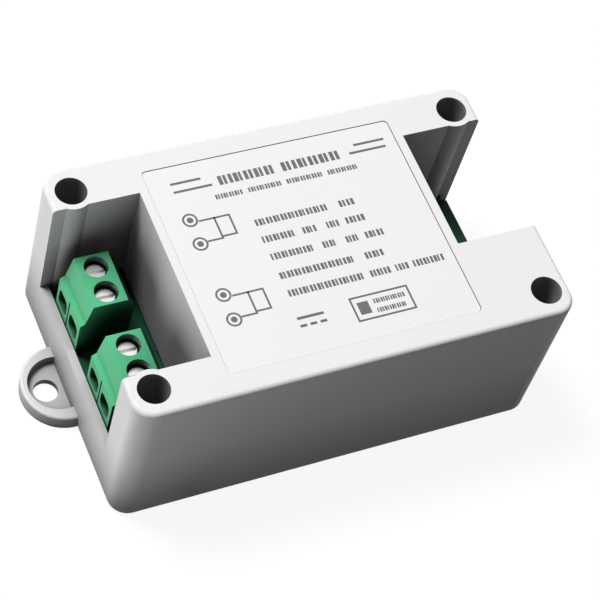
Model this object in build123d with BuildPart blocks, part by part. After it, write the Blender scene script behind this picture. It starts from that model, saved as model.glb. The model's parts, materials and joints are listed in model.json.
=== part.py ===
"""Smart relay module: a screwed white case with an open bay at each end, screw terminals and a relay board.

Millimetres. The origin is the centre of the case's underside, +X to the right end, +Y to the back, +Z up.
"""
from build123d import *
import math
import os

os.makedirs("parts", exist_ok=True)

# Case
case_length = 79.5
case_width = 49.2
case_height = 33.0
parting_height = 10.6
corner_radius = 3.5
top_edge_radius = 0.8
bottom_edge_radius = 1.0
wall = 1.5
roof = 2.0
floor = 2.0
cut_margin = 1.0

# Bays, open at both ends of the cover: their depth as a share of the case's length, their places as distances
# inward from the case's long faces
bay_depth_share = 0.1912
bay_side_inset = 8.02
right_bay_front_inset = 17.6

# Corner screw columns
column_inset_x = 4.2
column_inset_y = 4.85
column_radius = 3.7
counterbore_radius = 2.75
seat_thickness = 3.2
cover_hole_radius = 1.75
pilot_floor = 0.5

# Cover screws
cover_screw_radius = 1.45
cover_head_radius = 2.6
cover_head_height = 2.2
cover_screw_tip = 2.0
cover_screw_point = 0.3
cover_screw_tip_gap = 0.3
cross_length = 3.0
cross_width = 0.7
cross_depth = 1.1
seat_gap = 0.05
running_clearance = 0.05
head_round_share = 0.3

# Tongues of the tray inside the cover's long walls
tongue_thickness = 0.9
tongue_height = 1.4
tongue_root = 1.2
tongue_gap = 0.1
tongue_end_gap = 1.0

# Mounting ears
ear_radius = 7.5
ear_thickness = 3.0
ear_middle_y = 1.65
ear_edge_radius = 0.5
ear_hole_radius = 2.2
ear_hole_offset = 3.1
ear_recess_radius = 5.25
ear_recess_offset = 1.1
ear_recess_depth = 1.7

# Label and its recess
label_length = 46.0
label_width = 41.0
recess_depth = 0.35
label_thickness = 0.2
label_gap = 0.1
label_corner = 0.8

# Circuit board
board_underside = 7.4
board_thickness = 1.6
board_gap = 0.5
sill_gap = 0.1
sill_side_gap = 0.4
sill_inset = 0.15
standoff_bay_gap = 4.05
standoff_inset_y = 5.3
standoff_radius = 2.6
board_screw_radius = 1.1
board_screw_head = 2.1
board_screw_head_height = 1.4
board_screw_length = 5.0
board_screw_slot = 0.6
board_screw_slot_depth = 0.5
pin_tail = 1.5
pin_radius = 0.5
pin_gap = 0.15

# Screw terminals, with places as distances inward from the case's left end face
poles_per_block = 2
terminal_pitch = 5.08
terminal_height = 14.0
terminal_front = 1.65
terminal_top_front = 3.45
terminal_top_back = 9.55
terminal_back = 10.9
terminal_step_height = 8.7
terminal_step_rise = 0.6
terminal_step_back = 2.5
terminal_shoulder = 2.5
screw_inset = 6.55
block_place_share = 0.48
entry_width = 3.7
entry_height = 3.9
entry_axis_height = 5.0
entry_corner = 1.2
groove_width = 0.4
groove_depth = 0.35
screw_well_radius = 2.1

# Terminal screws
terminal_screw_radius = 1.25
terminal_head_radius = 1.9
terminal_head_height = 1.1
terminal_head_sink = 1.8
terminal_slot_width = 0.7
terminal_slot_depth = 0.6
shelf_thickness = 0.4
shelf_gap = 0.1
tip_gap = 0.05

# Clamp cages and contact bars
cage_width = 4.0
cage_length = 4.4
cage_side = 0.7
cage_top = 1.2
cage_bottom = 0.8
cage_travel = 1.8
cage_gap = 0.1
cage_stop_gap = 0.05
wire_gap = 3.4
bar_thickness = 0.8
bar_width = 2.2
bar_gap = 0.15
bar_nose = 0.25
bar_tail_width = 1.0
bar_hole_gap = 0.3
chamber_back = 0.4

# Relay
relay_place_share = -0.34624
relay_y = 9.0
relay_length = 19.2
relay_width = 15.4
relay_height = 15.3
relay_wall = 0.9
relay_gap = 0.1
relay_base_thickness = 1.6
relay_corner = 0.6
yoke_thickness = 1.2
yoke_width = 9.0
yoke_inset = 0.7
yoke_foot = 9.4
yoke_height = 9.7
yoke_lift = 0.1
core_radius = 1.6
core_place = 5.6
core_head_radius = 2.6
core_head_height = 0.5
armature_gap = 0.45
bobbin_radius = 4.6
bobbin_flange = 0.8
bobbin_tube = 0.6
bobbin_gap = 0.1
winding_radius = 4.3
winding_gap = 0.05
armature_thickness = 1.0
armature_width = 8.0
armature_reach = 9.4
bead_radius = 0.35
pivot_gap = 0.05
leaf_thickness = 0.2
leaf_width = 3.2
leaf_start = 2.8
leaf_end = 14.2
contact_place = 13.0
contact_radius = 1.1
contact_height = 0.5
contact_gap = 0.05
contact_travel = 0.69
spring_arm_thickness = 0.5
spring_arm_width = 3.0
spring_arm_inset = 0.3
spring_arm_split = 1.5
pad_height = 0.17

# Two electrolytic capacitors
capacitor_radius = 4.0
capacitor_height = 11.5
capacitor_groove = 0.35
capacitor_groove_height = 1.6
capacitor_edge = 0.5
capacitor_lead_radius = 0.3
capacitor_lead_spacing = 3.5
capacitor_lift = 0.3
capacitor_y = -12.3
capacitor_place_share = -0.611
capacitor_spacing = 10.5

# Power inductor
inductor_place_share = 0.34624
inductor_y = -13.5
inductor_size = 8.0
inductor_height = 4.4
inductor_flange = 0.9
inductor_core_radius = 2.0
inductor_winding_radius = 3.4
inductor_corner = 1.5

# Radio module
radio_place_share = 0.4725
radio_y = 8.0
radio_length = 13.0
radio_width = 18.0
radio_thickness = 0.8
can_length = 10.6
can_width = 12.0
can_height = 2.4
can_wall = 0.2
can_shift = 2.4
antenna_length = 7.0
antenna_width = 2.0
antenna_height = 1.2
antenna_margin = 0.8

# Pairing button, in the right bay beside its inner wall
button_bay_gap = 1.2
button_size = 6.0
button_height = 3.4
button_plate = 0.3
button_bore = 2.5
button_floor = 1.8
button_stem_radius = 1.7
button_stem_rise = 1.6
button_flange_radius = 2.3
button_flange_height = 0.8
button_gap = 0.1
button_stem_edge = 0.2

# Small parts on the board
chip_place_share = 0.2648
chip_y = -5.0
chip_length = 4.9
chip_width = 3.9
chip_height = 1.5
chip_leg_width = 0.42
chip_leg_reach = 1.05
chip_leg_thickness = 0.2
chip_leg_pitch = 1.27
chip_legs_per_side = 4
diode_place_share = -0.3055
diode_y = -3.5
diode_length = 4.3
diode_width = 2.6
diode_height = 2.2
transistor_place_share = -0.0611
transistor_y = -3.5
transistor_length = 2.9
transistor_width = 1.3
transistor_height = 1.1
led_spacing = 6.0
led_length = 3.2
led_width = 1.6
led_height = 0.9
led_lens_radius = 0.7
led_lens_height = 0.5
chip_part_length = 2.0
chip_part_width = 1.25
chip_part_height = 0.6
chip_part_pitch = 3.2
package_taper = 5
lens_taper = 20
resistor_place_share = -0.835
resistor_y = -4.6
resistor_count = 4
ceramic_place_share = 0.835
ceramic_y = -5.4
ceramic_count = 3

# Places worked out from the sizes above
end_x = case_length / 2
side_y = case_width / 2
bay_x = end_x - bay_depth_share * case_length
bay_half_width = side_y - bay_side_inset
right_bay_front = side_y - right_bay_front_inset
inner_length = case_length - 2 * wall
inner_width = case_width - 2 * wall
inner_radius = corner_radius - wall
column_x = end_x - column_inset_x
column_y = side_y - column_inset_y
column_places = [(sx * column_x, sy * column_y) for sx in (-1, 1) for sy in (1, -1)]
head_seat = parting_height + seat_thickness
standoff_x = bay_x - standoff_bay_gap
standoff_y = side_y - standoff_inset_y
standoff_places = [(sx * standoff_x, sy * standoff_y) for sx in (-1, 1) for sy in (1, -1)]
board_top = board_underside + board_thickness
board_length = inner_length - 2 * board_gap
board_width = inner_width - 2 * board_gap
tail_bottom = board_underside - pin_tail
pin_hole_radius = pin_radius + pin_gap

# Places along the board, as shares of the way from the middle to a bay
relay_x = relay_place_share * bay_x
capacitor_x = capacitor_place_share * bay_x
inductor_x = inductor_place_share * bay_x
radio_x = radio_place_share * bay_x
chip_x = chip_place_share * bay_x
diode_x = diode_place_share * bay_x
transistor_x = transistor_place_share * bay_x
resistor_x = resistor_place_share * bay_x
ceramic_x = ceramic_place_share * bay_x

# Terminal levels, from the housing's top downward
terminal_top = board_top + terminal_height
head_top = terminal_top - terminal_head_sink
head_bottom = head_top - terminal_head_height
shelf_top = head_bottom - seat_gap
chamber_roof = shelf_top - shelf_thickness
cage_rest_top = chamber_roof - cage_stop_gap - cage_travel
bar_top = cage_rest_top - cage_top - bar_gap
bar_bottom = bar_top - bar_thickness
cage_rest_bottom = bar_bottom - wire_gap - cage_bottom
bar_leg_front = screw_inset + cage_length / 2 + bar_gap
bar_leg_back = bar_leg_front + bar_thickness
block_y = block_place_share * bay_half_width


def pole_places(middle):
    """The y of each pole of a terminal block, from back to front."""
    return [middle + ((poles_per_block - 1) / 2 - k) * terminal_pitch for k in range(poles_per_block)]


terminal_blocks = {"back": block_y, "front": -block_y}
all_poles = [y for middle in terminal_blocks.values() for y in pole_places(middle)]

# Relay levels
relay_back_x = relay_x - relay_length / 2 + relay_wall + yoke_inset
relay_base_top = board_top + relay_base_thickness
yoke_bottom = relay_base_top + yoke_lift
foot_top = yoke_bottom + yoke_thickness
yoke_top = yoke_bottom + yoke_height
pivot_x = relay_back_x + yoke_thickness
pivot_axis_x = relay_back_x + yoke_thickness / 2
armature_bottom = yoke_top + pivot_gap
core_x = pivot_x + core_place
core_top = armature_bottom - armature_gap
armature_top = armature_bottom + armature_thickness
leaf_top = armature_top + leaf_thickness
contact_x = pivot_x + contact_place
upper_contact_top = leaf_top + contact_height
lower_contact_bottom = armature_top - contact_height
spring_arm_outer = relay_x + relay_length / 2 - relay_wall - spring_arm_inset
spring_arm_inner = spring_arm_outer - spring_arm_thickness
capacitor_places = [(capacitor_x + k * capacitor_spacing, capacitor_y) for k in range(2)]
coil_pin_places = [(core_x, relay_y + sy * (relay_width / 2 - relay_wall - relay_wall)) for sy in (-1, 1)]
yoke_pin_place = (relay_back_x + yoke_thickness / 2, relay_y)
button_x = bay_x + button_bay_gap + button_size / 2
button_y = (bay_half_width - right_bay_front) / 2
led_y = button_y - led_spacing
arm_pin_places = [
    ((spring_arm_inner + spring_arm_outer) / 2, relay_y + sy * spring_arm_width) for sy in (1, -1)
]


def export(builder, name):
    builder.part.label = name
    export_step(builder.part, f"parts/{name}.step")


def rectangle_between(x0, x1, y0, y1, mode=Mode.ADD):
    """A sketch rectangle from its two corners."""
    with Locations(((x0 + x1) / 2, (y0 + y1) / 2)):
        Rectangle(x1 - x0, y1 - y0, mode=mode)


def make_base_tray():
    """The tray: rim at the parting line, a notch for the board at the right, bosses, standoffs, tongues and ears."""
    with BuildPart() as tray:
        with BuildSketch():
            RectangleRounded(case_length, case_width, corner_radius)
        extrude(amount=parting_height)
        fillet(tray.faces().sort_by(Axis.Z)[0].edges(), bottom_edge_radius)
        with BuildSketch(Plane.XY.offset(floor)):
            RectangleRounded(inner_length, inner_width, inner_radius)
        extrude(amount=parting_height - floor, mode=Mode.SUBTRACT)
        with BuildSketch(Plane.XY.offset(parting_height)):
            rectangle_between(end_x - wall - sill_gap, end_x + cut_margin, -right_bay_front, bay_half_width)
        extrude(amount=-(parting_height - board_underside + sill_gap), mode=Mode.SUBTRACT)
        with BuildSketch(Plane.XY.offset(floor)):
            with Locations(*column_places):
                Circle(column_radius)
        extrude(amount=parting_height - floor)
        with BuildSketch(Plane.XY.offset(floor)):
            with Locations(*standoff_places):
                Circle(standoff_radius)
        extrude(amount=board_underside - floor)
        tongue_x = bay_x - wall - tongue_end_gap
        tongue_outer = side_y - wall - tongue_gap
        tongue_inner = tongue_outer - tongue_thickness
        with BuildSketch(Plane.XY.offset(parting_height - tongue_root)):
            rectangle_between(-tongue_x, tongue_x, tongue_inner, side_y - wall)
            rectangle_between(-tongue_x, tongue_x, -(side_y - wall), -tongue_inner)
        extrude(amount=tongue_root)
        with BuildSketch(Plane.XY.offset(parting_height)):
            rectangle_between(-tongue_x, tongue_x, tongue_inner, tongue_outer)
            rectangle_between(-tongue_x, tongue_x, -tongue_outer, -tongue_inner)
        extrude(amount=tongue_height)
        with BuildPart(mode=Mode.PRIVATE) as ears:
            with BuildSketch():
                with Locations((-end_x, ear_middle_y), (end_x, ear_middle_y)):
                    Circle(ear_radius)
            extrude(amount=ear_thickness)
            fillet(ears.edges().group_by(Axis.Z)[-1], ear_edge_radius)
            recess_x = end_x + ear_recess_offset
            with BuildSketch(Plane.XY.offset(ear_thickness)):
                with Locations((-recess_x, ear_middle_y), (recess_x, ear_middle_y)):
                    Circle(ear_recess_radius)
            extrude(amount=-ear_recess_depth, mode=Mode.SUBTRACT)
            with BuildSketch():
                Rectangle(inner_length + wall, case_width)
            extrude(amount=ear_thickness, mode=Mode.SUBTRACT)
            hole_x = end_x + ear_hole_offset
            with BuildSketch():
                with Locations((-hole_x, ear_middle_y), (hole_x, ear_middle_y)):
                    Circle(ear_hole_radius)
            extrude(amount=ear_thickness, mode=Mode.SUBTRACT)
        add(ears.part)
        with BuildSketch(Plane.XY.offset(parting_height)):
            with Locations(*column_places):
                Circle(cover_screw_radius + running_clearance)
        extrude(amount=-(parting_height - floor - pilot_floor), mode=Mode.SUBTRACT)
        with BuildSketch(Plane.XY.offset(board_underside)):
            with Locations(*standoff_places):
                Circle(board_screw_radius + running_clearance)
        extrude(amount=-(board_underside - floor), mode=Mode.SUBTRACT)
    return tray


def make_top_cover():
    """The cover: a shell with a wire bay at each end, four screw columns and the label's recess."""
    height = case_height - parting_height
    with BuildPart() as cover:
        with BuildSketch(Plane.XY.offset(parting_height)):
            RectangleRounded(case_length, case_width, corner_radius)
        extrude(amount=height)
        fillet(cover.faces().sort_by(Axis.Z)[-1].edges(), top_edge_radius)
        with BuildSketch(Plane.XY.offset(parting_height)):
            RectangleRounded(inner_length, inner_width, inner_radius)
            rectangle_between(-end_x, -bay_x + wall, -bay_half_width - wall, bay_half_width + wall,
                              mode=Mode.SUBTRACT)
            rectangle_between(bay_x - wall, end_x, -right_bay_front - wall, bay_half_width + wall,
                              mode=Mode.SUBTRACT)
            with Locations(*column_places):
                Circle(column_radius, mode=Mode.SUBTRACT)
        extrude(amount=height - roof, mode=Mode.SUBTRACT)
        with BuildSketch(Plane.XY.offset(parting_height)):
            rectangle_between(-end_x - cut_margin, -bay_x, -bay_half_width, bay_half_width)
            rectangle_between(bay_x, end_x + cut_margin, -right_bay_front, bay_half_width)
        extrude(amount=height, mode=Mode.SUBTRACT)
        with BuildSketch(Plane.XY.offset(parting_height)):
            with Locations(*column_places):
                Circle(column_radius)
        extrude(amount=height)
        with BuildSketch(Plane.XY.offset(head_seat)):
            with Locations(*column_places):
                Circle(counterbore_radius)
        extrude(amount=case_height - head_seat, mode=Mode.SUBTRACT)
        with BuildSketch(Plane.XY.offset(parting_height)):
            with Locations(*column_places):
                Circle(cover_hole_radius)
        extrude(amount=seat_thickness, mode=Mode.SUBTRACT)
        with BuildSketch(Plane.XY.offset(case_height - recess_depth)):
            RectangleRounded(label_length, label_width, label_corner)
        extrude(amount=recess_depth, mode=Mode.SUBTRACT)
    return cover


def make_label():
    """The plain label in the cover's recess."""
    with BuildPart() as label:
        with BuildSketch(Plane.XY.offset(case_height - recess_depth)):
            RectangleRounded(
                label_length - 2 * label_gap, label_width - 2 * label_gap, label_corner - label_gap
            )
        extrude(amount=label_thickness)
    return label


def make_cover_screw(place):
    """A self-tapping cover screw with a cross recess, standing on its seat in the column."""
    seat = head_seat + seat_gap
    tip = floor + pilot_floor + cover_screw_tip_gap
    top = seat + cover_head_height
    with BuildPart() as screw:
        with BuildSketch(Plane.XY.offset(seat)):
            with Locations(place):
                Circle(cover_head_radius)
        extrude(amount=cover_head_height)
        fillet(screw.edges().group_by(Axis.Z)[-1], head_round_share * cover_head_height)
        with BuildSketch(Plane.XY.offset(tip + cover_screw_tip)):
            with Locations(place):
                Circle(cover_screw_radius)
        extrude(amount=seat - tip - cover_screw_tip)
        with BuildSketch(Plane.XY.offset(tip + cover_screw_tip)):
            with Locations(place):
                Circle(cover_screw_radius)
        with BuildSketch(Plane.XY.offset(tip)):
            with Locations(place):
                Circle(cover_screw_point)
        loft()
        with BuildSketch(Plane.XY.offset(top)):
            with Locations(place):
                Rectangle(cross_length, cross_width)
                Rectangle(cross_width, cross_length)
        extrude(amount=-cross_depth, mode=Mode.SUBTRACT)
    return screw


def make_circuit_board():
    """The board: corners cut round the bosses, a hole for each pin and each board screw."""
    corner_x = column_x - column_radius - board_gap
    corner_y = column_y - column_radius - board_gap
    margin_x = board_length / 2 + cut_margin
    margin_y = board_width / 2 + cut_margin
    with BuildPart() as board:
        with BuildSketch(Plane.XY.offset(board_underside)):
            Rectangle(board_length, board_width)
            for sx in (-1, 1):
                for sy in (-1, 1):
                    x0, x1 = sorted((sx * corner_x, sx * margin_x))
                    y0, y1 = sorted((sy * corner_y, sy * margin_y))
                    rectangle_between(x0, x1, y0, y1, mode=Mode.SUBTRACT)
            with Locations(*standoff_places):
                Circle(board_screw_radius + running_clearance, mode=Mode.SUBTRACT)
            for y in all_poles:
                with Locations((-end_x + (bar_leg_front + bar_leg_back) / 2, y)):
                    Circle(bar_tail_width / 2 + bar_hole_gap, mode=Mode.SUBTRACT)
            with Locations(yoke_pin_place, *coil_pin_places, *arm_pin_places):
                Circle(pin_hole_radius, mode=Mode.SUBTRACT)
            for x, y in capacitor_places:
                with Locations((x, y)):
                    with GridLocations(capacitor_lead_spacing, 0, 2, 1):
                        Circle(capacitor_lead_radius + pin_gap, mode=Mode.SUBTRACT)
        extrude(amount=board_thickness)
        with BuildSketch(Plane.XY.offset(board_underside)):
            rectangle_between(
                board_length / 2 - board_gap, end_x - sill_inset,
                sill_side_gap - right_bay_front, bay_half_width - sill_side_gap,
            )
        extrude(amount=board_thickness)
    return board


def make_board_screws():
    """Four slotted screws that hold the board on its standoffs."""
    head_base = board_top
    tip = head_base - board_screw_length
    with BuildPart() as screws:
        with BuildSketch(Plane.XY.offset(tip)):
            with Locations(*standoff_places):
                Circle(board_screw_radius)
        extrude(amount=board_screw_length)
        with BuildSketch(Plane.XY.offset(head_base)):
            with Locations(*standoff_places):
                Circle(board_screw_head)
        extrude(amount=board_screw_head_height)
        fillet(screws.edges().group_by(Axis.Z)[-1], head_round_share * board_screw_head_height)
        with BuildSketch(Plane.XY.offset(head_base + board_screw_head_height)):
            with Locations(*standoff_places):
                Rectangle(2 * board_screw_head, board_screw_slot)
        extrude(amount=-board_screw_slot_depth, mode=Mode.SUBTRACT)
    return screws


def make_terminal_housing(middle):
    """A terminal block: stepped front with wire entries, and a screw well and a chamber for each pole."""
    width = poles_per_block * terminal_pitch
    step = board_top + terminal_step_height
    outline = [
        (terminal_front, board_top),
        (terminal_front, step),
        (terminal_step_back, step + terminal_step_rise),
        (terminal_top_front, terminal_top),
        (terminal_top_back, terminal_top),
        (terminal_back, terminal_top - terminal_shoulder),
        (terminal_back, board_top),
    ]
    places = pole_places(middle)
    chamber_front = screw_inset - cage_length / 2 - cage_gap
    chamber_end = bar_leg_back + chamber_back
    with BuildPart() as housing:
        with BuildSketch(Plane.XZ.offset(-middle)):
            with BuildLine():
                Polyline(*[(inward - end_x, z) for inward, z in outline], close=True)
            make_face()
        extrude(amount=width / 2, both=True)
        with BuildSketch(Plane.XY.offset(board_top)):
            for y in places:
                with Locations((-end_x + (chamber_front + chamber_end) / 2, y)):
                    Rectangle(chamber_end - chamber_front, cage_width + 2 * cage_gap)
        extrude(amount=chamber_roof - board_top, mode=Mode.SUBTRACT)
        with BuildSketch(Plane.XY.offset(chamber_roof)):
            with Locations(*[(screw_inset - end_x, y) for y in places]):
                Circle(terminal_screw_radius + shelf_gap)
        extrude(amount=shelf_thickness, mode=Mode.SUBTRACT)
        with BuildSketch(Plane.XY.offset(shelf_top)):
            with Locations(*[(screw_inset - end_x, y) for y in places]):
                Circle(screw_well_radius)
        extrude(amount=terminal_top - shelf_top, mode=Mode.SUBTRACT)
        with BuildSketch(Plane.YZ.offset(terminal_front - end_x)):
            with Locations(*[(y, board_top + entry_axis_height) for y in places]):
                RectangleRounded(entry_width, entry_height, entry_corner)
        extrude(amount=chamber_front - terminal_front, mode=Mode.SUBTRACT)
        seams = [(places[k] + places[k + 1]) / 2 for k in range(poles_per_block - 1)]
        with BuildSketch(Plane.YZ.offset(terminal_front - end_x)):
            for y in seams:
                rectangle_between(y - groove_width / 2, y + groove_width / 2, board_top, step)
        extrude(amount=groove_depth, mode=Mode.SUBTRACT)
    return housing


def make_terminal_screw(y):
    """A slotted terminal screw: it turns in its well and drives the clamp cage."""
    place = (screw_inset - end_x, y)
    with BuildPart() as screw:
        with BuildSketch(Plane.XY.offset(bar_top + tip_gap)):
            with Locations(place):
                Circle(terminal_screw_radius)
        extrude(amount=head_bottom - bar_top - tip_gap)
        with BuildSketch(Plane.XY.offset(head_bottom)):
            with Locations(place):
                Circle(terminal_head_radius)
        extrude(amount=terminal_head_height)
        fillet(screw.edges().group_by(Axis.Z)[-1], head_round_share * terminal_head_height)
        with BuildSketch(Plane.XY.offset(head_top)):
            with Locations(place):
                Rectangle(2 * terminal_head_radius, terminal_slot_width)
        extrude(amount=-terminal_slot_depth, mode=Mode.SUBTRACT)
    return screw


def make_clamp_cage(y):
    """A clamp cage: a square sleeve that the screw lifts, with the wire and the contact bar inside it."""
    place = (screw_inset - end_x, y)
    height = cage_rest_top - cage_rest_bottom
    window = height - cage_top - cage_bottom
    with BuildPart() as cage:
        with BuildSketch(Plane.XY.offset(cage_rest_bottom)):
            with Locations(place):
                Rectangle(cage_length, cage_width)
        extrude(amount=height)
        with BuildSketch(Plane.XY.offset(cage_rest_bottom + cage_bottom)):
            with Locations(place):
                Rectangle(cage_length, cage_width - 2 * cage_side)
        extrude(amount=window, mode=Mode.SUBTRACT)
        with BuildSketch(Plane.XY.offset(cage_rest_top)):
            with Locations(place):
                Circle(terminal_screw_radius + running_clearance)
        extrude(amount=-cage_top, mode=Mode.SUBTRACT)
    return cage


def make_contact_bars(middle):
    """One fixed bar per pole: a tongue inside the cage, a leg behind it and a tail through the board."""
    nose = screw_inset - cage_length / 2 + bar_nose
    with BuildPart() as bars:
        for y in pole_places(middle):
            with BuildSketch(Plane.XY.offset(bar_bottom)):
                with Locations((-end_x + (nose + bar_leg_back) / 2, y)):
                    Rectangle(bar_leg_back - nose, bar_width)
            extrude(amount=bar_thickness)
            with BuildSketch(Plane.XY.offset(board_top)):
                with Locations((-end_x + (bar_leg_front + bar_leg_back) / 2, y)):
                    Rectangle(bar_thickness, bar_width)
            extrude(amount=bar_top - board_top)
            with BuildSketch(Plane.XY.offset(tail_bottom)):
                with Locations((-end_x + (bar_leg_front + bar_leg_back) / 2, y)):
                    Rectangle(bar_thickness, bar_tail_width)
            extrude(amount=board_top - tail_bottom)
    return bars


def make_relay_case():
    """The relay's moulded case, open underneath."""
    with BuildPart() as case:
        with BuildSketch(Plane.XY.offset(board_top)):
            with Locations((relay_x, relay_y)):
                RectangleRounded(relay_length, relay_width, relay_corner)
        extrude(amount=relay_height)
        fillet(case.faces().sort_by(Axis.Z)[-1].edges(), relay_corner)
        with BuildSketch(Plane.XY.offset(board_top)):
            with Locations((relay_x, relay_y)):
                Rectangle(relay_length - 2 * relay_wall, relay_width - 2 * relay_wall)
        extrude(amount=relay_height - relay_wall, mode=Mode.SUBTRACT)
    return case


def make_relay_base():
    """The relay's base plate, with a hole for each pin."""
    with BuildPart() as plate:
        with BuildSketch(Plane.XY.offset(board_top)):
            with Locations((relay_x, relay_y)):
                Rectangle(
                    relay_length - 2 * (relay_wall + relay_gap), relay_width - 2 * (relay_wall + relay_gap)
                )
            with Locations(yoke_pin_place, *coil_pin_places, *arm_pin_places):
                Circle(pin_hole_radius, mode=Mode.SUBTRACT)
        extrude(amount=relay_base_thickness)
    return plate


def make_relay_yoke():
    """The L-shaped yoke, with the armature's groove on top and the common pin below its upright."""
    with BuildPart() as yoke:
        with BuildSketch(Plane.XY.offset(yoke_bottom)):
            rectangle_between(relay_back_x, pivot_x, relay_y - yoke_width / 2, relay_y + yoke_width / 2)
        extrude(amount=yoke_height)
        with BuildSketch(Plane.XY.offset(yoke_bottom)):
            rectangle_between(
                pivot_x, pivot_x + yoke_foot, relay_y - yoke_width / 2, relay_y + yoke_width / 2
            )
        extrude(amount=yoke_thickness)
        with BuildSketch(Plane.XY.offset(tail_bottom)):
            with Locations(yoke_pin_place):
                Circle(pin_radius)
        extrude(amount=yoke_bottom - tail_bottom)
        with BuildSketch(Plane.XZ.offset(-relay_y)):
            with Locations((pivot_axis_x, yoke_top)):
                Circle(bead_radius + running_clearance)
        extrude(amount=yoke_width, both=True, mode=Mode.SUBTRACT)
    return yoke


def make_relay_core():
    """The iron core with its pole head."""
    with BuildPart() as core:
        with BuildSketch(Plane.XY.offset(foot_top)):
            with Locations((core_x, relay_y)):
                Circle(core_radius)
        extrude(amount=core_top - foot_top)
        with BuildSketch(Plane.XY.offset(core_top - core_head_height)):
            with Locations((core_x, relay_y)):
                Circle(core_head_radius)
        extrude(amount=core_head_height)
    return core


def make_relay_bobbin():
    """The bobbin: two flanges on a tube round the core."""
    bottom = foot_top
    top = core_top - core_head_height - bobbin_gap
    tube_radius = core_radius + bobbin_gap + bobbin_tube
    with BuildPart() as bobbin:
        with BuildSketch(Plane.XY.offset(bottom)):
            with Locations((core_x, relay_y)):
                Circle(tube_radius)
        extrude(amount=top - bottom)
        for level in (bottom, top - bobbin_flange):
            with BuildSketch(Plane.XY.offset(level)):
                with Locations((core_x, relay_y)):
                    Circle(bobbin_radius)
            extrude(amount=bobbin_flange)
        with BuildSketch(Plane.XY.offset(bottom)):
            with Locations((core_x, relay_y)):
                Circle(core_radius + bobbin_gap)
        extrude(amount=top - bottom, mode=Mode.SUBTRACT)
    return bobbin


def make_relay_winding():
    """The copper winding between the bobbin's flanges."""
    bottom = foot_top + bobbin_flange + winding_gap
    top = core_top - core_head_height - bobbin_gap - bobbin_flange - winding_gap
    with BuildPart() as winding:
        with BuildSketch(Plane.XY.offset(bottom)):
            with Locations((core_x, relay_y)):
                Circle(winding_radius)
                Circle(core_radius + bobbin_gap + bobbin_tube + winding_gap, mode=Mode.SUBTRACT)
        extrude(amount=top - bottom)
    return winding


def make_relay_armature():
    """The iron armature, with the round bead on which it tips in the yoke's groove."""
    with BuildPart() as armature:
        with BuildSketch(Plane.XY.offset(armature_bottom)):
            rectangle_between(relay_back_x, pivot_x + armature_reach,
                              relay_y - armature_width / 2, relay_y + armature_width / 2)
        extrude(amount=armature_thickness)
        with BuildSketch(Plane.XZ.offset(-relay_y)):
            with Locations((pivot_axis_x, yoke_top)):
                Circle(bead_radius)
        extrude(amount=armature_width / 2, both=True)
    return armature


def make_moving_contact():
    """The contact leaf on the armature, with a contact button above and below its tip."""
    with BuildPart() as leaf:
        with BuildSketch(Plane.XY.offset(armature_top)):
            rectangle_between(pivot_x + leaf_start, pivot_x + leaf_end,
                              relay_y - leaf_width / 2, relay_y + leaf_width / 2)
        extrude(amount=leaf_thickness)
        with BuildSketch(Plane.XY.offset(lower_contact_bottom)):
            with Locations((contact_x, relay_y)):
                Circle(contact_radius)
        extrude(amount=upper_contact_top - lower_contact_bottom)
    return leaf


def make_fixed_contact(side, arm_level, pad_level):
    """A fixed contact: an arm with its pad, a leg down the relay's end and a pin through the board."""
    far_y = relay_y + side * (spring_arm_split + spring_arm_width)
    near_y = relay_y - side * contact_radius
    leg_y = relay_y + side * spring_arm_split
    pin_y = relay_y + side * spring_arm_width
    pad_back = arm_level + (spring_arm_thickness if pad_level > arm_level else 0)
    pad_bottom, pad_top = sorted((pad_back, pad_level))
    with BuildPart() as contact:
        with BuildSketch(Plane.XY.offset(arm_level)):
            rectangle_between(contact_x - contact_radius, spring_arm_outer, *sorted((near_y, far_y)))
        extrude(amount=spring_arm_thickness)
        with BuildSketch(Plane.XY.offset(pad_bottom)):
            with Locations((contact_x, relay_y)):
                Circle(contact_radius)
        extrude(amount=pad_top - pad_bottom)
        with BuildSketch(Plane.XY.offset(relay_base_top)):
            rectangle_between(spring_arm_inner, spring_arm_outer, *sorted((leg_y, far_y)))
        extrude(amount=arm_level + spring_arm_thickness - relay_base_top)
        with BuildSketch(Plane.XY.offset(tail_bottom)):
            with Locations(((spring_arm_inner + spring_arm_outer) / 2, pin_y)):
                Circle(pin_radius)
        extrude(amount=relay_base_top - tail_bottom)
    return contact


def make_coil_pins():
    """The coil's two pins, from beside the bobbin's lower flange through the board."""
    with BuildPart() as pins:
        with BuildSketch(Plane.XY.offset(tail_bottom)):
            with Locations(*coil_pin_places):
                Circle(pin_radius)
        extrude(amount=foot_top + bobbin_flange - tail_bottom)
    return pins


def make_capacitor(x, y):
    """An electrolytic capacitor's can with its rolled groove."""
    base = board_top + capacitor_lift
    top = base + capacitor_height
    waist = capacitor_radius - capacitor_groove
    with BuildPart() as can:
        with BuildSketch(Plane.XZ.offset(-y)):
            with BuildLine():
                Polyline(
                    (x, base),
                    (x + capacitor_radius, base),
                    (x + capacitor_radius, base + capacitor_groove_height),
                    (x + waist, base + capacitor_groove_height + capacitor_groove),
                    (x + capacitor_radius, base + capacitor_groove_height + 2 * capacitor_groove),
                    (x + capacitor_radius, top),
                    (x, top),
                    close=True,
                )
            make_face()
        revolve(axis=Axis((x, y, 0), (0, 0, 1)))
        fillet(can.edges().group_by(Axis.Z)[-1], capacitor_edge)
    return can


def make_capacitor_leads():
    """The leads of both capacitors."""
    with BuildPart() as leads:
        for x, y in capacitor_places:
            with BuildSketch(Plane.XY.offset(tail_bottom)):
                with Locations((x, y)):
                    with GridLocations(capacitor_lead_spacing, 0, 2, 1):
                        Circle(capacitor_lead_radius)
            extrude(amount=board_top + capacitor_lift - tail_bottom)
    return leads


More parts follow.
